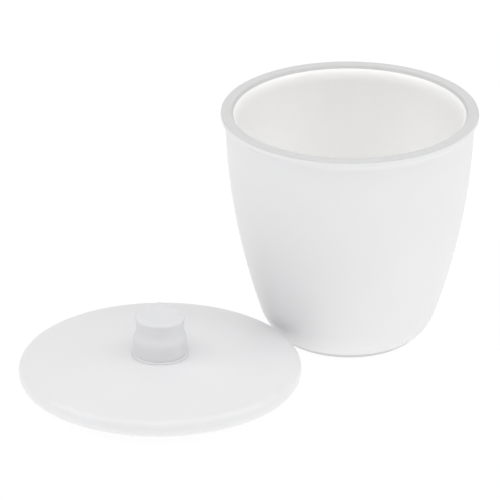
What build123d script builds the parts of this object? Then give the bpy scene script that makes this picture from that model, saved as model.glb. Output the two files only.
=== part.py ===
from build123d import *
import os

# A porcelain crucible with its lid lying beside it, in millimetres.
# The cup stands on its foot, with its axis on +Z and the foot's centre at the origin. The lid lies
# on the same surface on its locating ring, in front of the cup and to its left. Every piece is
# round, so each is an outline of radius and height turned about its own upright axis.

os.makedirs("parts", exist_ok=True)

# The cup, a high-form crucible of about 50 ml
RIM_RADIUS = 26.0
RIM_WIDTH = 2.4
RIM_EDGE = 0.5
RIM_ROUND = 0.22
CUP_HEIGHT = 48.4
WALL = 2.1
FLOOR = 2.8
FLOOR_EDGE_RADIUS = 6.8
FOOT_RADIUS = 13.8
FOOT_DISH_RADIUS = 10.6
FOOT_DISH_DEPTH = 0.4

# Points of the cup's wall, as radius and height: the top of the foot's round, the middle of the
# long wall, the start of the lip and, inside, the top of the wide round above the floor
ROUND_TOP = (17.85, 6.3)
WALL_MIDDLE = (22.7, 25.6)
LIP_START = (24.8, 45.4)
INNER_ROUND_TOP = (16.1, 9.7)

# Glaze coats leave bare the foot, the rim, the lid's seat and ring, and the knob. What is glazed of
# the foot's round, of the lip outside and inside, and of the lid's hollow, is a share of its length.
GLAZE = 0.2
GLAZED_ROUND = 0.78
GLAZED_LIP = 0.85
GLAZED_MOUTH = 0.6
GLAZED_HOLLOW = 0.95
BARE_ABOVE_SEAT = 0.6
BARE_ROUND_KNOB = 0.3

# The lid, in heights above the surface that it lies on
LID_X = -37.9
LID_Y = -27.0
LID_RADIUS = 28.0
LID_SEAT = 2.0
LID_SEAT_RADIUS = 26.4
LID_WIDEST = 4.2
LID_EDGE_TOP = 5.6
LID_EDGE_ROUND = 1.2
LID_CROWN = 1.9
LID_CENTRE_THICKNESS = 3.0
RING_OUTER_RADIUS = 21.6
RING_WIDTH = 2.3
RING_TAPER = 0.3
RING_ROUND = 0.6

# The knob, a short waisted stub joined to the lid with slip: radii, with heights above its foot
SLIP = 0.25
SLIP_RADIUS = 5.55
SLIP_BULGE = 0.06
KNOB_FOOT_RADIUS = 5.15
KNOB_BELLY = (5.4, 1.5)
KNOB_WAIST = (4.65, 5.6)
KNOB_LIP = (4.95, 7.5)
KNOB_EDGE_ROUND = 0.5
KNOB_DISH = 0.35

SAME_POINT = 0.01


def turned(outline, x=0.0, y=0.0):
    """The solid that a flat outline of radius and height makes about the upright axis at x, y."""
    return Pos(x, y, 0) * revolve(Plane.XZ * outline, Axis.Z)


def coat(line, side):
    """The outline of a glaze coat that lies on one side of a line."""
    return make_face(offset(line, amount=GLAZE, side=side, closed=True))


def rounded(face, radius, *corners):
    """The face with the corners at the given points rounded."""
    chosen = [v for v in face.vertices() for c in corners if (Vector(v) - Vector(*c)).length < SAME_POINT]
    return fillet(chosen, radius)


# The cup's outside: the foot's round, the long wall and the small lip that turns out to the rim
rim_outer = (RIM_RADIUS, CUP_HEIGHT)
rim_inner = (RIM_RADIUS - RIM_WIDTH, CUP_HEIGHT)
rim_foot = (RIM_RADIUS, CUP_HEIGHT - RIM_EDGE)
wall = ThreePointArc(ROUND_TOP, WALL_MIDDLE, LIP_START)
foot_round = TangentArc(ROUND_TOP, (FOOT_RADIUS, 0), tangent=-(wall % 0))
lip = TangentArc(LIP_START, rim_foot, tangent=wall % 1)

# The cup's inside, one wall's thickness further in, with a wide round down to the floor
floor_edge = (FLOOR_EDGE_RADIUS, FLOOR)
inner_lip_start = (LIP_START[0] - WALL, LIP_START[1])
inner_middle = (WALL_MIDDLE[0] - WALL, WALL_MIDDLE[1])
inner_round = TangentArc(floor_edge, INNER_ROUND_TOP, tangent=(1, 0))
inner_wall = ThreePointArc(INNER_ROUND_TOP, inner_middle, inner_lip_start)
inner_lip = TangentArc(inner_lip_start, rim_inner, tangent=inner_wall % 1)

foot_inner_radius = FOOT_DISH_RADIUS + FOOT_DISH_DEPTH
cup_outline = make_face(
    [
        Line((0, FOOT_DISH_DEPTH), (FOOT_DISH_RADIUS, FOOT_DISH_DEPTH)),
        Line((FOOT_DISH_RADIUS, FOOT_DISH_DEPTH), (foot_inner_radius, 0)),
        Line((foot_inner_radius, 0), (FOOT_RADIUS, 0)),
        foot_round,
        wall,
        lip,
        Line(rim_foot, rim_outer),
        Line(rim_outer, rim_inner),
        inner_lip,
        inner_wall,
        inner_round,
        Line(floor_edge, (0, FLOOR)),
        Line((0, FLOOR), (0, FOOT_DISH_DEPTH)),
    ]
)
cup_body = turned(rounded(cup_outline, RIM_ROUND, rim_foot, rim_outer, rim_inner))

outside_line = Curve() + [foot_round.trim(0, GLAZED_ROUND), wall, lip.trim(0, GLAZED_LIP)]
inside_line = Curve() + [
    Line((0, FLOOR), floor_edge),
    inner_round,
    inner_wall,
    inner_lip.trim(0, GLAZED_MOUTH),
]
cup_glaze_outside = turned(coat(outside_line, Side.LEFT))
cup_glaze_inside = turned(coat(inside_line, Side.LEFT))


# The lid's crown is part of a sphere, and the slip and the knob's foot lie evenly above it
crown_sphere = (LID_RADIUS**2 + LID_CROWN**2) / (2 * LID_CROWN)
crown_centre = LID_EDGE_TOP + LID_CROWN - crown_sphere


def crown_point(radius, above=0.0):
    """A point of the lid's crown at a radius, or of a surface that lies evenly above the crown."""
    return (radius, crown_centre + ((crown_sphere + above) ** 2 - radius**2) ** 0.5)


def crown_arc(radius, above=0.0):
    """The crown's outline from the axis out to a radius, or that of a surface evenly above it."""
    return ThreePointArc(*[crown_point(r, above) for r in (0, radius / 2, radius)])


# The lid's disc: the crown, an edge that curves in to the flat seat, and the ring round the hollow
edge_top = (LID_RADIUS, LID_EDGE_TOP)
edge_widest = (LID_RADIUS, LID_WIDEST)
seat_edge = (LID_SEAT_RADIUS, LID_SEAT)
ring_outer_top = (RING_OUTER_RADIUS, LID_SEAT)
ring_inner_top = (RING_OUTER_RADIUS - RING_WIDTH, LID_SEAT)
ring_outer_foot = (ring_outer_top[0] - RING_TAPER, 0)
ring_inner_foot = (ring_inner_top[0] + RING_TAPER, 0)
hollow_centre = (0, crown_point(0)[1] - LID_CENTRE_THICKNESS)
hollow = TangentArc(hollow_centre, ring_inner_top, tangent=(1, 0))
lid_outline = make_face(
    [
        crown_arc(LID_RADIUS),
        Line(edge_top, edge_widest),
        TangentArc(edge_widest, seat_edge, tangent=(0, -1)),
        Line(seat_edge, ring_outer_top),
        Line(ring_outer_top, ring_outer_foot),
        Line(ring_outer_foot, ring_inner_foot),
        Line(ring_inner_foot, ring_inner_top),
        hollow,
        Line(hollow_centre, crown_point(0)),
    ]
)
lid_outline = rounded(lid_outline, LID_EDGE_ROUND, edge_top)
lid_outline = rounded(lid_outline, RING_ROUND, ring_inner_foot, ring_outer_foot)
lid_disc = turned(lid_outline, LID_X, LID_Y)

# The lid's glaze: over the crown and down the edge, clear of the knob and the seat, and in the hollow
outer_edges = [e for e in lid_outline.edges() if e.bounding_box().max.X > LID_SEAT_RADIUS + SAME_POINT]
bare_centre = Rectangle(2 * (SLIP_RADIUS + BARE_ROUND_KNOB), CUP_HEIGHT)
bare_edge = Rectangle(CUP_HEIGHT * 2, 2 * (LID_SEAT + BARE_ABOVE_SEAT))
top_coat = coat(Curve() + outer_edges, Side.RIGHT) - bare_centre - bare_edge
lid_glaze_top = turned(top_coat, LID_X, LID_Y)
lid_glaze_under = turned(coat(hollow.trim(0, GLAZED_HOLLOW), Side.RIGHT), LID_X, LID_Y)

# The slip that holds the knob, squeezed out in a small bead round its foot
slip_foot = crown_point(SLIP_RADIUS)
slip_shoulder = crown_point(KNOB_FOOT_RADIUS, SLIP)
slip_middle = (Vector(*slip_foot) + Vector(*slip_shoulder)) / 2 + Vector(SLIP_BULGE, SLIP_BULGE)
slip_outline = make_face(
    [
        crown_arc(SLIP_RADIUS),
        ThreePointArc(slip_foot, slip_middle, slip_shoulder),
        crown_arc(KNOB_FOOT_RADIUS, SLIP),
        Line(crown_point(0, SLIP), crown_point(0)),
    ]
)
knob_slip = turned(slip_outline, LID_X, LID_Y)

# The knob: a foot that tucks in, a belly, a waist and a lip round a shallow dish
knob_base = crown_point(0, SLIP)[1]
side_points = [(radius, knob_base + height) for radius, height in (KNOB_BELLY, KNOB_WAIST, KNOB_LIP)]
knob_side = Spline(slip_shoulder, *side_points)
knob_edge = (KNOB_LIP[0] - KNOB_EDGE_ROUND, side_points[-1][1] + KNOB_EDGE_ROUND)
dish = TangentArc((0, knob_edge[1] - KNOB_DISH), knob_edge, tangent=(1, 0))
knob_outline = make_face(
    [
        crown_arc(KNOB_FOOT_RADIUS, SLIP),
        knob_side,
        TangentArc(knob_side @ 1, knob_edge, tangent=knob_side % 1),
        dish,
        Line(dish @ 0, crown_point(0, SLIP)),
    ]
)
lid_knob = turned(knob_outline, LID_X, LID_Y)

pieces = {
    "cup_body": cup_body,
    "cup_glaze_outside": cup_glaze_outside,
    "cup_glaze_inside": cup_glaze_inside,
    "lid_disc": lid_disc,
    "lid_glaze_top": lid_glaze_top,
    "lid_glaze_under": lid_glaze_under,
    "knob_slip": knob_slip,
    "lid_knob": lid_knob,
}
for name, piece in pieces.items():
    export_step(piece, f"parts/{name}.step")
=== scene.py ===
import cmath
import math

import bpy
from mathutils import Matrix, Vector


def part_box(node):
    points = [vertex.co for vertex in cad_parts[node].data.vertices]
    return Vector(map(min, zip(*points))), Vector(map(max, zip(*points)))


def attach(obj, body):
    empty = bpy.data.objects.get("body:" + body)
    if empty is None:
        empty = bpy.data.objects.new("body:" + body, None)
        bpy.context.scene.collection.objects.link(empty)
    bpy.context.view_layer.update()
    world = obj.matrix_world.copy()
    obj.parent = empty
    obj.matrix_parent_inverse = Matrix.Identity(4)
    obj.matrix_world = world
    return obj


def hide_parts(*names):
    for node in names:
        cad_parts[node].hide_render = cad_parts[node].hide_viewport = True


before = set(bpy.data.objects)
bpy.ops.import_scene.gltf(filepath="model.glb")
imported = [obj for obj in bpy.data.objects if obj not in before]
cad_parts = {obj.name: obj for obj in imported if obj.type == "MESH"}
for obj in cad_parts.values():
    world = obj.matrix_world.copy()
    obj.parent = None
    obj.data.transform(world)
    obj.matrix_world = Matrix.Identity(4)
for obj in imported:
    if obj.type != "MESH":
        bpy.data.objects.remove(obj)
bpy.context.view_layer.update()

# ---- Cup body --------------------------------------------------------------------------------
# The cup is one wall of hard-paste porcelain, jiggered in a plaster mould and fired to 1400 C.
# Its lip is turned out by hand, and the rim and the foot are wiped clean of glaze, so that the
# bare body shows there: a little greyer than the glaze, dry and finely grained.
MM = 0.001
RIM_RADIUS = 25.9
CUP_HEIGHT = 48.4
MOUTH_RADIUS = 23.6
RIM_ROUND = 0.35
WALL = 2.1
FLOOR = 2.8
FLOOR_EDGE = 6.8
FOOT_RADIUS = 13.8
FOOT_DISH_RADIUS = 10.6
FOOT_DISH_DEPTH = 0.4

# A point of an outline is its radius plus its height times 1j, and so is a direction
UP, DOWN, OUT, IN = 1j, -1j, 1 + 0j, -1 + 0j
ROUND_TOP = 17.85 + 6.3j
WALL_MIDDLE = 22.7 + 25.6j
LIP_START = 24.8 + 45.4j
LIP_EDGE = 25.84 + 47.4j
INNER_ROUND_TOP = 16.1 + 9.7j

# How a piece is turned and then let out of true: the warp's size along each way, in millimetres
SIDES = 96
SAME_POINT = 0.002
SMOOTHING = 1
OUT_OF_ROUND = 0.16
WARP_SIZES = {"X": 34, "Y": 29}


def heading_of(start, middle, end):
    """The direction in which the circle through three points leaves the first of them."""
    turn = cmath.phase((end - middle) / (middle - start))
    return (end - start) / abs(end - start) * cmath.rect(1, -turn)


def far_heading(start, end, heading):
    """The direction of an arc at one of its ends, from its direction at the other end."""
    chord = (end - start) / abs(end - start)
    return chord ** 2 / heading


def bend(outline, heading, end, steps):
    """Adds the arc that leaves the outline's last point along heading, and gives its last heading."""
    start = outline[-1]
    turn = cmath.phase((end - start) / heading)
    for step in range(1, steps + 1):
        part = turn * step / steps
        length = abs(end - start) * math.sin(part) / math.sin(turn)
        outline.append(start + length * heading * cmath.rect(1, part))
    return heading * cmath.rect(1, 2 * turn)


def run(outline, end, steps=1):
    """Adds a straight stretch to an outline."""
    start = outline[-1]
    outline.extend(start + (end - start) * step / steps for step in range(1, steps + 1))


def throw(name, outline, centre=(0.0, 0.0), sides=SIDES):
    """Turns an outline about an upright axis at a centre, as a potter's wheel does."""
    bpy.ops.object.select_all(action="DESELECT")
    x, y = centre
    first = outline[0]
    bpy.ops.mesh.primitive_plane_add(size=MM, location=((x + first.real) * MM, y * MM, first.imag * MM))
    piece = bpy.context.object
    piece.name = name
    bpy.ops.object.transform_apply(location=True)
    bpy.ops.object.mode_set(mode="EDIT")
    bpy.ops.mesh.select_all(action="SELECT")
    bpy.ops.mesh.merge(type="CENTER")
    for here, there in zip(outline, outline[1:]):
        step = (there - here) * MM
        bpy.ops.mesh.extrude_region_move(TRANSFORM_OT_translate={"value": (step.real, 0, step.imag)})
    bpy.ops.mesh.select_all(action="SELECT")
    bpy.ops.mesh.spin(steps=sides, angle=math.tau, center=(x * MM, y * MM, 0), axis=(0, 0, 1))
    bpy.ops.mesh.select_all(action="SELECT")
    bpy.ops.mesh.remove_doubles(threshold=SAME_POINT * MM)
    bpy.ops.mesh.normals_make_consistent(inside=False)
    bpy.ops.object.mode_set(mode="OBJECT")
    return piece


def put_on(piece, kind, **settings):
    """Adds a modifier to a piece with the given settings and applies it."""
    modifier = piece.modifiers.new(kind.title(), kind)
    for setting, value in settings.items():
        setattr(modifier, setting, value)
    bpy.context.view_layer.objects.active = piece
    bpy.ops.object.modifier_apply(modifier=modifier.name)


def soften(piece, depth=OUT_OF_ROUND):
    """Rounds a thrown piece off and lets it out of true a little, as drying and firing do."""
    put_on(piece, "SUBSURF", levels=SMOOTHING, render_levels=SMOOTHING)
    for way, size in WARP_SIZES.items():
        warp = bpy.data.textures.new("warp_" + way, "CLOUDS")
        warp.noise_scale = size * MM
        warp.noise_depth = 1
        put_on(piece, "DISPLACE", texture=warp, texture_coords="LOCAL", direction=way,
               strength=depth * MM, mid_level=0.5)
    bpy.ops.object.select_all(action="DESELECT")
    piece.select_set(True)
    bpy.ops.object.shade_smooth()


def belongs(piece, body, node, material):
    """Gives a finished piece its material and its body, and hides the construction piece that it stands for.
    """
    piece.data.materials.clear()
    piece.data.materials.append(material)
    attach(piece, body)
    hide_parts(node)


def paint(code):
    """A colour for a socket from its sRGB hex code."""
    channels = [int(code[i:i + 2], 16) / 255 for i in (1, 3, 5)]
    return [c / 12.92 if c <= 0.04045 else ((c + 0.055) / 1.055) ** 2.4 for c in channels] + [1.0]


def add(material, kind, links=(), **settings):
    """Adds a node to a material: its settings, its sockets' values, and links from other nodes."""
    node = material.node_tree.nodes.new(kind)
    for name, value in settings.items():
        setattr(node, name, value)
    for socket, value in dict(links).items():
        if isinstance(value, bpy.types.NodeSocket):
            material.node_tree.links.new(value, node.inputs[socket])
        else:
            node.inputs[socket].default_value = value
    return node


def blank(name):
    """A new material with no nodes in it."""
    material = bpy.data.materials.new(name)
    material.use_nodes = True
    material.node_tree.nodes.clear()
    return material


def strewn(material, where, spacing, radius, share):
    """Small round dots strewn over a surface, 1 inside a dot and 0 outside it. They lie in cells of the
    given spacing. A share of 0 gives no dots, a share of 1 one in each cell, and it isn't even between."""
    cells = add(material, "ShaderNodeTexVoronoi", {"Vector": where, "Scale": 1 / (spacing * MM)})
    dot = add(material, "ShaderNodeMapRange", {
        "Value": cells.outputs["Distance"], "From Min": radius / spacing, "From Max": radius / spacing / 2})
    kept = add(material, "ShaderNodeMath", {0: cells.outputs["Color"], 1: share}, operation="LESS_THAN")
    dots = add(material, "ShaderNodeMath", {0: dot.outputs[0], 1: kept.outputs[0]}, operation="MULTIPLY")
    return dots.outputs[0]


# Bare hard porcelain: clouds, rubs from the bench, a fine tooth, and specks of iron. Specks are given
# as the spacing, the radius and the share that strewn() takes.
BISCUIT_CLOUD = 6.0
RUB_SIZE = 1.2
RUB_HEIGHT = 0.5
TOOTH_SIZE = 0.3
TOOTH_DEPTH = 0.03
BISCUIT_SPECKS = (6.0, 0.1, 0.3)


def bare_porcelain(name, light, dark):
    """Unglazed hard porcelain: dry, off-white and finely toothed, clouded, with a few iron specks.
    Where it rubs on the bench it has picked up a little grey."""
    material = blank(name)
    where = add(material, "ShaderNodeTexCoord").outputs["Object"]
    cloud = add(material, "ShaderNodeTexNoise", {
        "Vector": where, "Scale": 1 / (BISCUIT_CLOUD * MM), "Detail": 4.0})
    tone = add(material, "ShaderNodeMix", {0: cloud.outputs[0], 6: paint(light), 7: paint(dark)},
               data_type="RGBA")
    height = add(material, "ShaderNodeSeparateXYZ", {"Vector": where})
    near_bench = add(material, "ShaderNodeMapRange", {
        "Value": height.outputs["Z"], "From Min": RUB_HEIGHT * MM, "From Max": 0.0})
    rubs = add(material, "ShaderNodeTexNoise", {"Vector": where, "Scale": 1 / (RUB_SIZE * MM), "Detail": 5.0})
    rubbed = add(material, "ShaderNodeMath", {0: near_bench.outputs[0], 1: rubs.outputs[0]},
                 operation="MULTIPLY")
    tone = add(material, "ShaderNodeMix", {0: rubbed.outputs[0], 6: tone.outputs[2], 7: paint("#A9A9AA")},
               data_type="RGBA")
    specks = strewn(material, where, *BISCUIT_SPECKS)
    tone = add(material, "ShaderNodeMix", {0: specks, 6: tone.outputs[2], 7: paint("#C0BBB4")},
               data_type="RGBA")
    dryness = add(material, "ShaderNodeMapRange", {
        "Value": cloud.outputs[0], "To Min": 0.62, "To Max": 0.8})
    tooth = add(material, "ShaderNodeTexNoise", {
        "Vector": where, "Scale": 1 / (TOOTH_SIZE * MM), "Detail": 3.0})
    bump = add(material, "ShaderNodeBump", {
        "Height": tooth.outputs[0], "Strength": 0.5, "Distance": TOOTH_DEPTH * MM})
    shader = add(material, "ShaderNodeBsdfPrincipled", {
        "Base Color": tone.outputs[2], "Roughness": dryness.outputs[0], "IOR": 1.5,
        "Normal": bump.outputs[0]})
    add(material, "ShaderNodeOutputMaterial", {"Surface": shader.outputs[0]})
    return material


wall_heading = heading_of(ROUND_TOP, WALL_MIDDLE, LIP_START)
foot_heading = far_heading(FOOT_RADIUS + 0j, ROUND_TOP, wall_heading)
cup_outline = [FOOT_DISH_DEPTH * UP]
run(cup_outline, FOOT_DISH_RADIUS + FOOT_DISH_DEPTH * UP, steps=4)
run(cup_outline, FOOT_DISH_RADIUS + FOOT_DISH_DEPTH + 0j)
run(cup_outline, FOOT_RADIUS + 0j, steps=3)
bend(cup_outline, foot_heading, ROUND_TOP, steps=6)
lip_heading = bend(cup_outline, wall_heading, LIP_START, steps=14)
bend(cup_outline, lip_heading, LIP_EDGE, steps=5)

# The rim, flat on top with its two corners softened
rim_side = RIM_RADIUS + (CUP_HEIGHT - RIM_ROUND) * UP
mouth_side = MOUTH_RADIUS + (CUP_HEIGHT - RIM_ROUND) * UP
run(cup_outline, rim_side)
bend(cup_outline, UP, RIM_RADIUS - RIM_ROUND + CUP_HEIGHT * UP, steps=3)
run(cup_outline, MOUTH_RADIUS + RIM_ROUND + CUP_HEIGHT * UP, steps=4)
bend(cup_outline, IN, mouth_side, steps=3)

# Down the inside. The long wall's top and middle are one wall's thickness nearer the axis.
inner_lip = LIP_START - WALL
inner_middle = WALL_MIDDLE - WALL
inner_floor = FLOOR_EDGE + FLOOR * UP
inner_heading = heading_of(inner_lip, inner_middle, INNER_ROUND_TOP)
bend(cup_outline, far_heading(mouth_side, inner_lip, inner_heading), inner_lip, steps=5)
bend(cup_outline, inner_heading, INNER_ROUND_TOP, steps=12)
bend(cup_outline, far_heading(INNER_ROUND_TOP, inner_floor, IN), inner_floor, steps=7)
run(cup_outline, FLOOR * UP, steps=3)

biscuit = bare_porcelain("bare_hard_porcelain", "#D6D6D6", "#D1D1D1")
cup_body = throw("cup_body_porcelain", cup_outline)
soften(cup_body)
belongs(cup_body, "cup", "cup_body", biscuit)

# ---- Outside glaze -----------------------------------------------------------------------------
# The cup is dipped in a clear feldspar glaze that fires to a thin hard glass. Outside it runs from
# just above the foot up to the rim's side, and it thins out to nothing at both ends.
GLAZE = 0.2
GLAZE_KEY = 0.05
GLAZE_TAPER = 1.3
BARE_FOOT_STEPS = 5
OUTER_SIDE, INNER_SIDE = -1, 1

# What shows in the glaze: clouds, smears in the gloss, orange peel, throwing rings, pinholes and
# specks of iron. BAND_LENGTH is how far apart the bands of a wave texture are at a scale of 1.
GLAZE_CLOUD = 14.0
SMEAR_SIZE = 5.0
PEEL_SIZE = 2.2
PEEL_DEPTH = 0.03
RING_DEPTH = 0.02
BAND_LENGTH = math.tau / 20
PINHOLES = (10.0, 0.14, 0.3)
PINHOLE_DEPTH = 0.05
GLAZE_SPECKS = (13.0, 0.12, 0.25)


def coat(line, side, from_axis=False):
    """The outline of a glaze coat on one side of a line. It thins out at open ends and is keyed in."""
    lengths = [abs(there - here) for here, there in zip(line, line[1:])]
    skin, back = [], []
    for number, point in enumerate(line):
        before, after = line[max(number - 1, 0)], line[min(number + 1, len(line) - 1)]
        way = OUT if from_axis and number == 0 else after - before
        outward = side * 1j * way / abs(way)
        to_start = math.inf if from_axis else sum(lengths[:number])
        to_end = min(to_start, sum(lengths[number:]))
        thinned = 1 - min(to_end / GLAZE_TAPER, 1)
        skin.append(point + outward * GLAZE * (1 - thinned ** 2))
        back.append(point - outward * GLAZE_KEY)
    loop = skin + back[::-1]
    return loop if from_axis else loop + loop[:1]


def glazed_porcelain(name, light, dark, ring_pitch):
    """Clear glaze on white porcelain: a smooth hard gloss, faintly clouded, over soft orange peel and
    throwing rings, with a few pinholes and specks of iron in it."""
    material = blank(name)
    where = add(material, "ShaderNodeTexCoord").outputs["Object"]
    cloud = add(material, "ShaderNodeTexNoise", {
        "Vector": where, "Scale": 1 / (GLAZE_CLOUD * MM), "Detail": 3.0})
    tone = add(material, "ShaderNodeMix", {0: cloud.outputs[0], 6: paint(light), 7: paint(dark)},
               data_type="RGBA")
    specks = strewn(material, where, *GLAZE_SPECKS)
    tone = add(material, "ShaderNodeMix", {0: specks, 6: tone.outputs[2], 7: paint("#D6D3CD")},
               data_type="RGBA")
    smear = add(material, "ShaderNodeTexNoise", {
        "Vector": where, "Scale": 1 / (SMEAR_SIZE * MM), "Detail": 2.0})
    gloss = add(material, "ShaderNodeMapRange", {"Value": smear.outputs[0], "To Min": 0.3, "To Max": 0.4})
    peel = add(material, "ShaderNodeTexNoise", {
        "Vector": where, "Scale": 1 / (PEEL_SIZE * MM), "Detail": 1.0})
    bump = add(material, "ShaderNodeBump", {
        "Height": peel.outputs[0], "Strength": 0.3, "Distance": PEEL_DEPTH * MM})
    rings = add(material, "ShaderNodeTexWave", {
        "Vector": where, "Scale": BAND_LENGTH / (ring_pitch * MM), "Distortion": 1.5,
        "Detail": 1.0, "Detail Scale": 0.4}, bands_direction="Z")
    bump = add(material, "ShaderNodeBump", {
        "Height": rings.outputs["Fac"], "Normal": bump.outputs[0], "Strength": 0.25,
        "Distance": RING_DEPTH * MM})
    pinholes = strewn(material, where, *PINHOLES)
    bump = add(material, "ShaderNodeBump", {
        "Height": pinholes, "Normal": bump.outputs[0], "Strength": 0.4,
        "Distance": PINHOLE_DEPTH * MM}, invert=True)
    shader = add(material, "ShaderNodeBsdfPrincipled", {
        "Base Color": tone.outputs[2], "Roughness": gloss.outputs[0], "IOR": 1.52,
        "Normal": bump.outputs[0]})
    add(material, "ShaderNodeOutputMaterial", {"Surface": shader.outputs[0]})
    return material


outside_line = [FOOT_RADIUS + 0j]
bend(outside_line, foot_heading, ROUND_TOP, steps=22)
outside_line = outside_line[BARE_FOOT_STEPS:]
bend(outside_line, wall_heading, LIP_START, steps=14)
bend(outside_line, lip_heading, LIP_EDGE, steps=10)
run(outside_line, rim_side, steps=3)
white_glaze = glazed_porcelain("clear_glaze_on_porcelain", "#E6E6E7", "#E2E2E3", ring_pitch=3.0)
cup_outside = throw("cup_outside_glaze", coat(outside_line, OUTER_SIDE))
soften(cup_outside)
belongs(cup_outside, "cup", "cup_glaze_outside", white_glaze)

# ---- Inside glaze ------------------------------------------------------------------------------
# The same dip lines the cup from the floor to just under the mouth. Its colour is set lighter than
# the outside's, because less light reaches it.
BARE_MOUTH_STEPS = 2

inside_line = [FLOOR * UP]
run(inside_line, inner_floor, steps=3)
bend(inside_line, OUT, INNER_ROUND_TOP, steps=7)
inner_up_heading = heading_of(INNER_ROUND_TOP, inner_middle, inner_lip)
inner_lip_heading = bend(inside_line, inner_up_heading, inner_lip, steps=12)
bend(inside_line, inner_lip_heading, mouth_side, steps=16)
inside_line = inside_line[:-BARE_MOUTH_STEPS]
inner_glaze = glazed_porcelain("clear_glaze_inside_the_cup", "#FCFCFB", "#FAF9F8", ring_pitch=3.6)
cup_inside = throw("cup_inside_glaze", coat(inside_line, INNER_SIDE, from_axis=True))
soften(cup_inside)
belongs(cup_inside, "cup", "cup_glaze_inside", inner_glaze)

# ---- Lid disc ----------------------------------------------------------------------------------
# The lid is pressed as a crowned disc with a locating ring underneath, which drops into the mouth
# of the cup. It lies on the bench on that ring, so that its edge stands clear of the bench.
LID_RADIUS = 28.0
LID_SEAT = 2.0
LID_SEAT_RADIUS = 26.4
LID_WIDEST = 4.2
LID_EDGE_TOP = 5.6
LID_EDGE_ROUND = 1.3
LID_CROWN = 1.9
LID_CENTRE_THICKNESS = 3.0
RING_OUTER = 21.6
RING_INNER = 19.3
RING_TAPER = 0.24
RING_ROUND = 0.6
RING_FILLET = 0.3

lid_low, lid_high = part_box("lid_disc")
lid_centre = ((lid_low.x + lid_high.x) / 2 / MM, (lid_low.y + lid_high.y) / 2 / MM)
crown_sphere = (LID_RADIUS ** 2 + LID_CROWN ** 2) / (2 * LID_CROWN)


def on_crown(radius, above=0.0):
    """The point of the lid's crown at a radius, or one evenly above it."""
    reach = crown_sphere + above
    return radius + (LID_EDGE_TOP + LID_CROWN - crown_sphere + math.sqrt(reach ** 2 - radius ** 2)) * UP


crown_top = (LID_EDGE_TOP + LID_CROWN) * UP
crown_edge = on_crown(LID_RADIUS - LID_EDGE_ROUND)
crown_heading = far_heading(crown_edge, crown_top, IN)
hollow_top = crown_top - LID_CENTRE_THICKNESS * UP
hollow_edge = RING_INNER + LID_SEAT * UP
ring_inner_foot = RING_INNER + RING_TAPER + RING_ROUND * UP
ring_outer_foot = RING_OUTER - RING_TAPER + RING_ROUND * UP
seat_edge = LID_SEAT_RADIUS + LID_SEAT * UP
lid_widest = LID_RADIUS + LID_WIDEST * UP
lid_side_top = LID_RADIUS + (LID_EDGE_TOP - LID_EDGE_ROUND) * UP
edge_heading = far_heading(seat_edge, lid_widest, UP)

disc_outline = [hollow_top]
bend(disc_outline, OUT, hollow_edge, steps=7)
run(disc_outline, ring_inner_foot, steps=2)
bend(disc_outline, DOWN, ring_inner_foot + RING_ROUND * (1 - 1j), steps=3)
run(disc_outline, ring_outer_foot - RING_ROUND * (1 + 1j))
bend(disc_outline, OUT, ring_outer_foot, steps=3)
run(disc_outline, RING_OUTER + (LID_SEAT - RING_FILLET) * UP, steps=2)
run(disc_outline, RING_OUTER + RING_FILLET + LID_SEAT * UP)
run(disc_outline, seat_edge, steps=4)
bend(disc_outline, edge_heading, lid_widest, steps=6)
run(disc_outline, lid_side_top)
bend(disc_outline, UP, crown_edge, steps=4)
bend(disc_outline, crown_heading, crown_top, steps=12)

lid_disc = throw("lid_disc_porcelain", disc_outline, lid_centre)
soften(lid_disc)
belongs(lid_disc, "lid", "lid_disc", biscuit)

# ---- Lid glaze ---------------------------------------------------------------------------------
# Clear glaze over the crown and down the edge. It runs in under the bead round the knob, and stops
# short of the flat seat, which has to stay bare so that the lid doesn't stick in the kiln.
KNOB_BARE_RADIUS = 5.3
BARE_SEAT_STEPS = 3

top_line = [seat_edge]
bend(top_line, edge_heading, lid_widest, steps=14)
top_line = top_line[BARE_SEAT_STEPS:]
run(top_line, lid_side_top)
bend(top_line, UP, crown_edge, steps=4)
last_heading = bend(top_line, crown_heading, on_crown(KNOB_BARE_RADIUS + GLAZE_TAPER), steps=10)
bend(top_line, last_heading, on_crown(KNOB_BARE_RADIUS), steps=5)
lid_top = throw("lid_top_glaze", coat(top_line, OUTER_SIDE), lid_centre)
soften(lid_top)
belongs(lid_top, "lid", "lid_glaze_top", white_glaze)

# The glaze inside the ring faces what is in the cup, and is wiped back from the ring itself.
BARE_HOLLOW_STEPS = 2

under_line = [hollow_top]
bend(under_line, OUT, hollow_edge, steps=40)
under_line = under_line[:-BARE_HOLLOW_STEPS]
lid_under = throw("lid_under_glaze", coat(under_line, OUTER_SIDE, from_axis=True), lid_centre)
soften(lid_under)
belongs(lid_under, "lid", "lid_glaze_under", white_glaze)

# ---- Knob slip ---------------------------------------------------------------------------------
# The knob is stuck on with slip, the same clay let down to a cream. A little is squeezed out
# round the knob's foot, and it fires to the same hard porcelain.
SLIP = 0.25
SLIP_RADIUS = 5.85
SLIP_TOE = 0.12
SLIP_CLIMB = 0.45
SLIP_HEADING = cmath.rect(1, math.radians(170))
KNOB_FOOT = 5.36

slip_outline = [on_crown(0)]
bend(slip_outline, OUT, on_crown(SLIP_RADIUS, SLIP_TOE), steps=6)
bend(slip_outline, SLIP_HEADING, on_crown(KNOB_FOOT, SLIP + SLIP_CLIMB), steps=5)
run(slip_outline, on_crown(0, SLIP), steps=3)
# The knob and its bead are the rim's bare porcelain, with the colour painted lighter to make up for the shade
# on the knob and round its foot.
knob_porcelain_painted_lighter = bare_porcelain("bare_porcelain_painted_lighter_for_knob", "#E2E2E4", "#DCDCDE")
knob_slip = throw("knob_slip_bead", slip_outline, lid_centre)
soften(knob_slip)
belongs(knob_slip, "lid", "knob_slip", knob_porcelain_painted_lighter)

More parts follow.
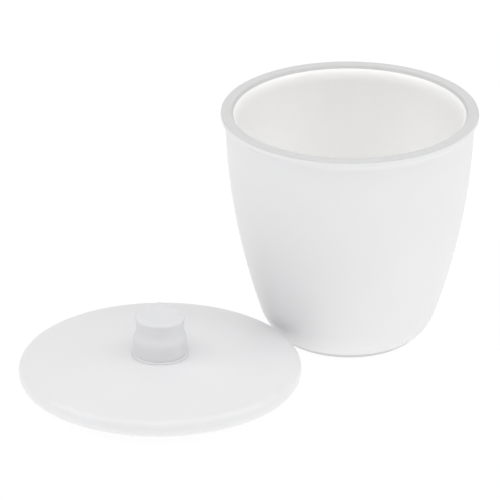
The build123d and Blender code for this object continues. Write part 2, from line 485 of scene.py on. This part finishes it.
# ---- Knob --------------------------------------------------------------------------------------
# A short stub of clay rolled and pinched by hand: a foot that tucks in, a soft waist and a top
# cut off with a wire, so it is a little uneven. It is left bare, like the rim.
KNOB_BELLY = 5.42 + 1.1j
KNOB_STRAIGHT = 1.6j
KNOB_WAIST = 4.8 + 5.4j
KNOB_LIP = 5.0 + 7.4j
KNOB_EDGE = 4.45 + 7.95j
KNOB_DISH_RADIUS = 3.7
KNOB_DISH = 0.35
KNOB_FOOT_HEADING = cmath.rect(1, math.radians(65))
KNOB_DISH_HEADING = (-1 - 0.1j) / abs(-1 - 0.1j)
KNOB_SIDES = 64
KNOB_OUT_OF_ROUND = 0.3

# The wire and the fingers left a high spot at the back, an ear at the left and a low shoulder at the
# right. Each is a place from the middle of the knob's top, a push and how far round it reaches.
KNOB_PUSHES = [
    ((0.0, 4.7, -0.3), (0, 0, 0.75), 2.8),
    ((-4.2, 0.8, -0.1), (-0.1, 0, 0.25), 1.8),
    ((4.0, 2.0, -0.1), (0, 0, -0.3), 2.6),
]


def push(piece, place, way, reach):
    """Pushes the clay of a piece about as a finger does: all of it near a place, and less of it with
    distance."""
    target = Vector(place) * MM
    bpy.ops.object.select_all(action="DESELECT")
    bpy.context.view_layer.objects.active = piece
    piece.select_set(True)
    bpy.context.scene.tool_settings.mesh_select_mode = (True, False, False)
    bpy.ops.object.mode_set(mode="EDIT")
    bpy.ops.mesh.select_all(action="DESELECT")
    bpy.ops.object.mode_set(mode="OBJECT")
    nearest = min(piece.data.vertices, key=lambda vertex: (vertex.co - target).length).index
    piece.data.vertices[nearest].select = True
    bpy.ops.object.mode_set(mode="EDIT")
    bpy.ops.transform.translate(value=Vector(way) * MM, use_proportional_edit=True,
                                proportional_edit_falloff="SMOOTH", proportional_size=reach * MM)
    bpy.ops.object.mode_set(mode="OBJECT")


knob_base = on_crown(0, SLIP)
belly_top = KNOB_BELLY + KNOB_STRAIGHT
half_way = (belly_top + KNOB_WAIST) / 2
knob_outline = [knob_base]
run(knob_outline, on_crown(KNOB_FOOT, SLIP), steps=3)
bend(knob_outline, KNOB_FOOT_HEADING, knob_base + KNOB_BELLY, steps=3)
run(knob_outline, knob_base + belly_top, steps=2)
bend(knob_outline, UP, knob_base + half_way, steps=3)
bend(knob_outline, far_heading(belly_top, KNOB_WAIST, UP), knob_base + KNOB_WAIST, steps=3)
lip_turn = bend(knob_outline, UP, knob_base + KNOB_LIP, steps=4)
bend(knob_outline, lip_turn, knob_base + KNOB_EDGE, steps=5)
run(knob_outline, knob_base + KNOB_DISH_RADIUS + KNOB_EDGE.imag * UP)
bend(knob_outline, KNOB_DISH_HEADING, knob_base + (KNOB_EDGE.imag - KNOB_DISH) * UP, steps=4)

lid_knob = throw("lid_knob_stub", knob_outline, lid_centre, KNOB_SIDES)
soften(lid_knob, KNOB_OUT_OF_ROUND)
knob_top = (*lid_centre, (knob_base + KNOB_EDGE).imag)
for place, way, reach in KNOB_PUSHES:
    push(lid_knob, [middle + aside for middle, aside in zip(knob_top, place)], way, reach)
belongs(lid_knob, "lid", "lid_knob", knob_porcelain_painted_lighter)

# ---- Floor, light and camera ---------------------------------------------------------------------
# A white bench that glows a little, under a soft even light, and a long lens that looks down on the pieces.
# Distances here are in metres, unless MM says otherwise.
FLOOR_SIZE = 6.0
FLOOR_DROP = 0.02 * MM
SHADOW_SHARE = 0.1
BENCH_GLOW = 0.42
WORLD_LIGHT = 0.51
WHITE = (1, 1, 1, 1)
LIGHT_AIM = Vector((-10, 0, 20)) * MM
LIGHT_DISTANCE = 1.4
LIGHT_SIZE = 1.0
SIGHT_ELEVATION = math.radians(24.54)
SIGHT_DISTANCE = 1.122
SIGHT_AIM = Vector((-20.0, 6.7, 14.6)) * MM
LENS = 396.0


def shows_white(material):
    """1 where the camera, a reflection or glass sees a surface directly, and 0 where it only gives
    light."""
    path = add(material, "ShaderNodeLightPath")
    direct = add(material, "ShaderNodeMath", {
        0: path.outputs["Is Camera Ray"], 1: path.outputs["Is Glossy Ray"]}, operation="MAXIMUM")
    seen = add(material, "ShaderNodeMath", {
        0: direct.outputs[0], 1: path.outputs["Is Transmission Ray"]}, operation="MAXIMUM")
    return seen.outputs[0]


bpy.ops.object.select_all(action="DESELECT")
bpy.ops.mesh.primitive_plane_add(size=FLOOR_SIZE, location=(0, 0, -FLOOR_DROP))
floor = bpy.context.object
floor.name = "bench"
bench_white = blank("bench_white")
plain = add(bench_white, "ShaderNodeBsdfDiffuse", {"Color": paint("#EDEDED")})
# The bench gives off a painted glow of its own, though it is no lamp, and this lights the pieces a little
# from below.
under_light = add(bench_white, "ShaderNodeEmission", {"Color": WHITE, "Strength": BENCH_GLOW})
lit = add(bench_white, "ShaderNodeAddShader", {0: plain.outputs[0], 1: under_light.outputs[0]})
glow = add(bench_white, "ShaderNodeEmission", {"Color": WHITE, "Strength": 1.0})
glow_share = add(bench_white, "ShaderNodeMath", {0: shows_white(bench_white), 1: 1 - SHADOW_SHARE},
                 operation="MULTIPLY")
look = add(bench_white, "ShaderNodeMixShader", {
    0: glow_share.outputs[0], 1: lit.outputs[0], 2: glow.outputs[0]})
add(bench_white, "ShaderNodeOutputMaterial", {"Surface": look.outputs[0]})
floor.data.materials.append(bench_white)

world = bpy.data.worlds.new("soft_room")
bpy.context.scene.world = world
world.use_nodes = True
world.node_tree.nodes.clear()
sky = add(world, "ShaderNodeBackground", {"Color": WHITE, "Strength": WORLD_LIGHT})
seen_sky = add(world, "ShaderNodeBackground", {"Color": WHITE, "Strength": 1.0})
room = add(world, "ShaderNodeMixShader", {
    0: shows_white(world), 1: sky.outputs[0], 2: seen_sky.outputs[0]})
add(world, "ShaderNodeOutputWorld", {"Surface": room.outputs[0]})


def softbox(name, turn, elevation, watts):
    """A square soft light on the pieces: degrees round from the front, degrees up, and watts."""
    lamp = bpy.data.lights.new(name, "AREA")
    lamp.size = LIGHT_SIZE
    lamp.energy = watts
    box = bpy.data.objects.new(name, lamp)
    bpy.context.scene.collection.objects.link(box)
    about, up = math.radians(turn), math.radians(elevation)
    away = Vector((math.sin(about) * math.cos(up), -math.cos(about) * math.cos(up), math.sin(up)))
    box.location = LIGHT_AIM + away * LIGHT_DISTANCE
    box.rotation_euler = away.to_track_quat("Z", "Y").to_euler()


softbox("softbox_top", 0, 88, 2.2)
softbox("softbox_front", 0, 60, 3.6)
softbox("softbox_right", 82, 45, 4.6)
softbox("softbox_left", -82, 45, 4.4)

sight = Vector((0, math.cos(SIGHT_ELEVATION), -math.sin(SIGHT_ELEVATION)))
camera = bpy.data.objects.new("camera", bpy.data.cameras.new("camera"))
bpy.context.scene.collection.objects.link(camera)
camera.data.lens = LENS
camera.location = SIGHT_AIM - sight * SIGHT_DISTANCE
camera.rotation_euler = sight.to_track_quat("-Z", "Y").to_euler()
bpy.context.scene.camera = camera
bpy.context.scene.view_settings.view_transform = "Standard"
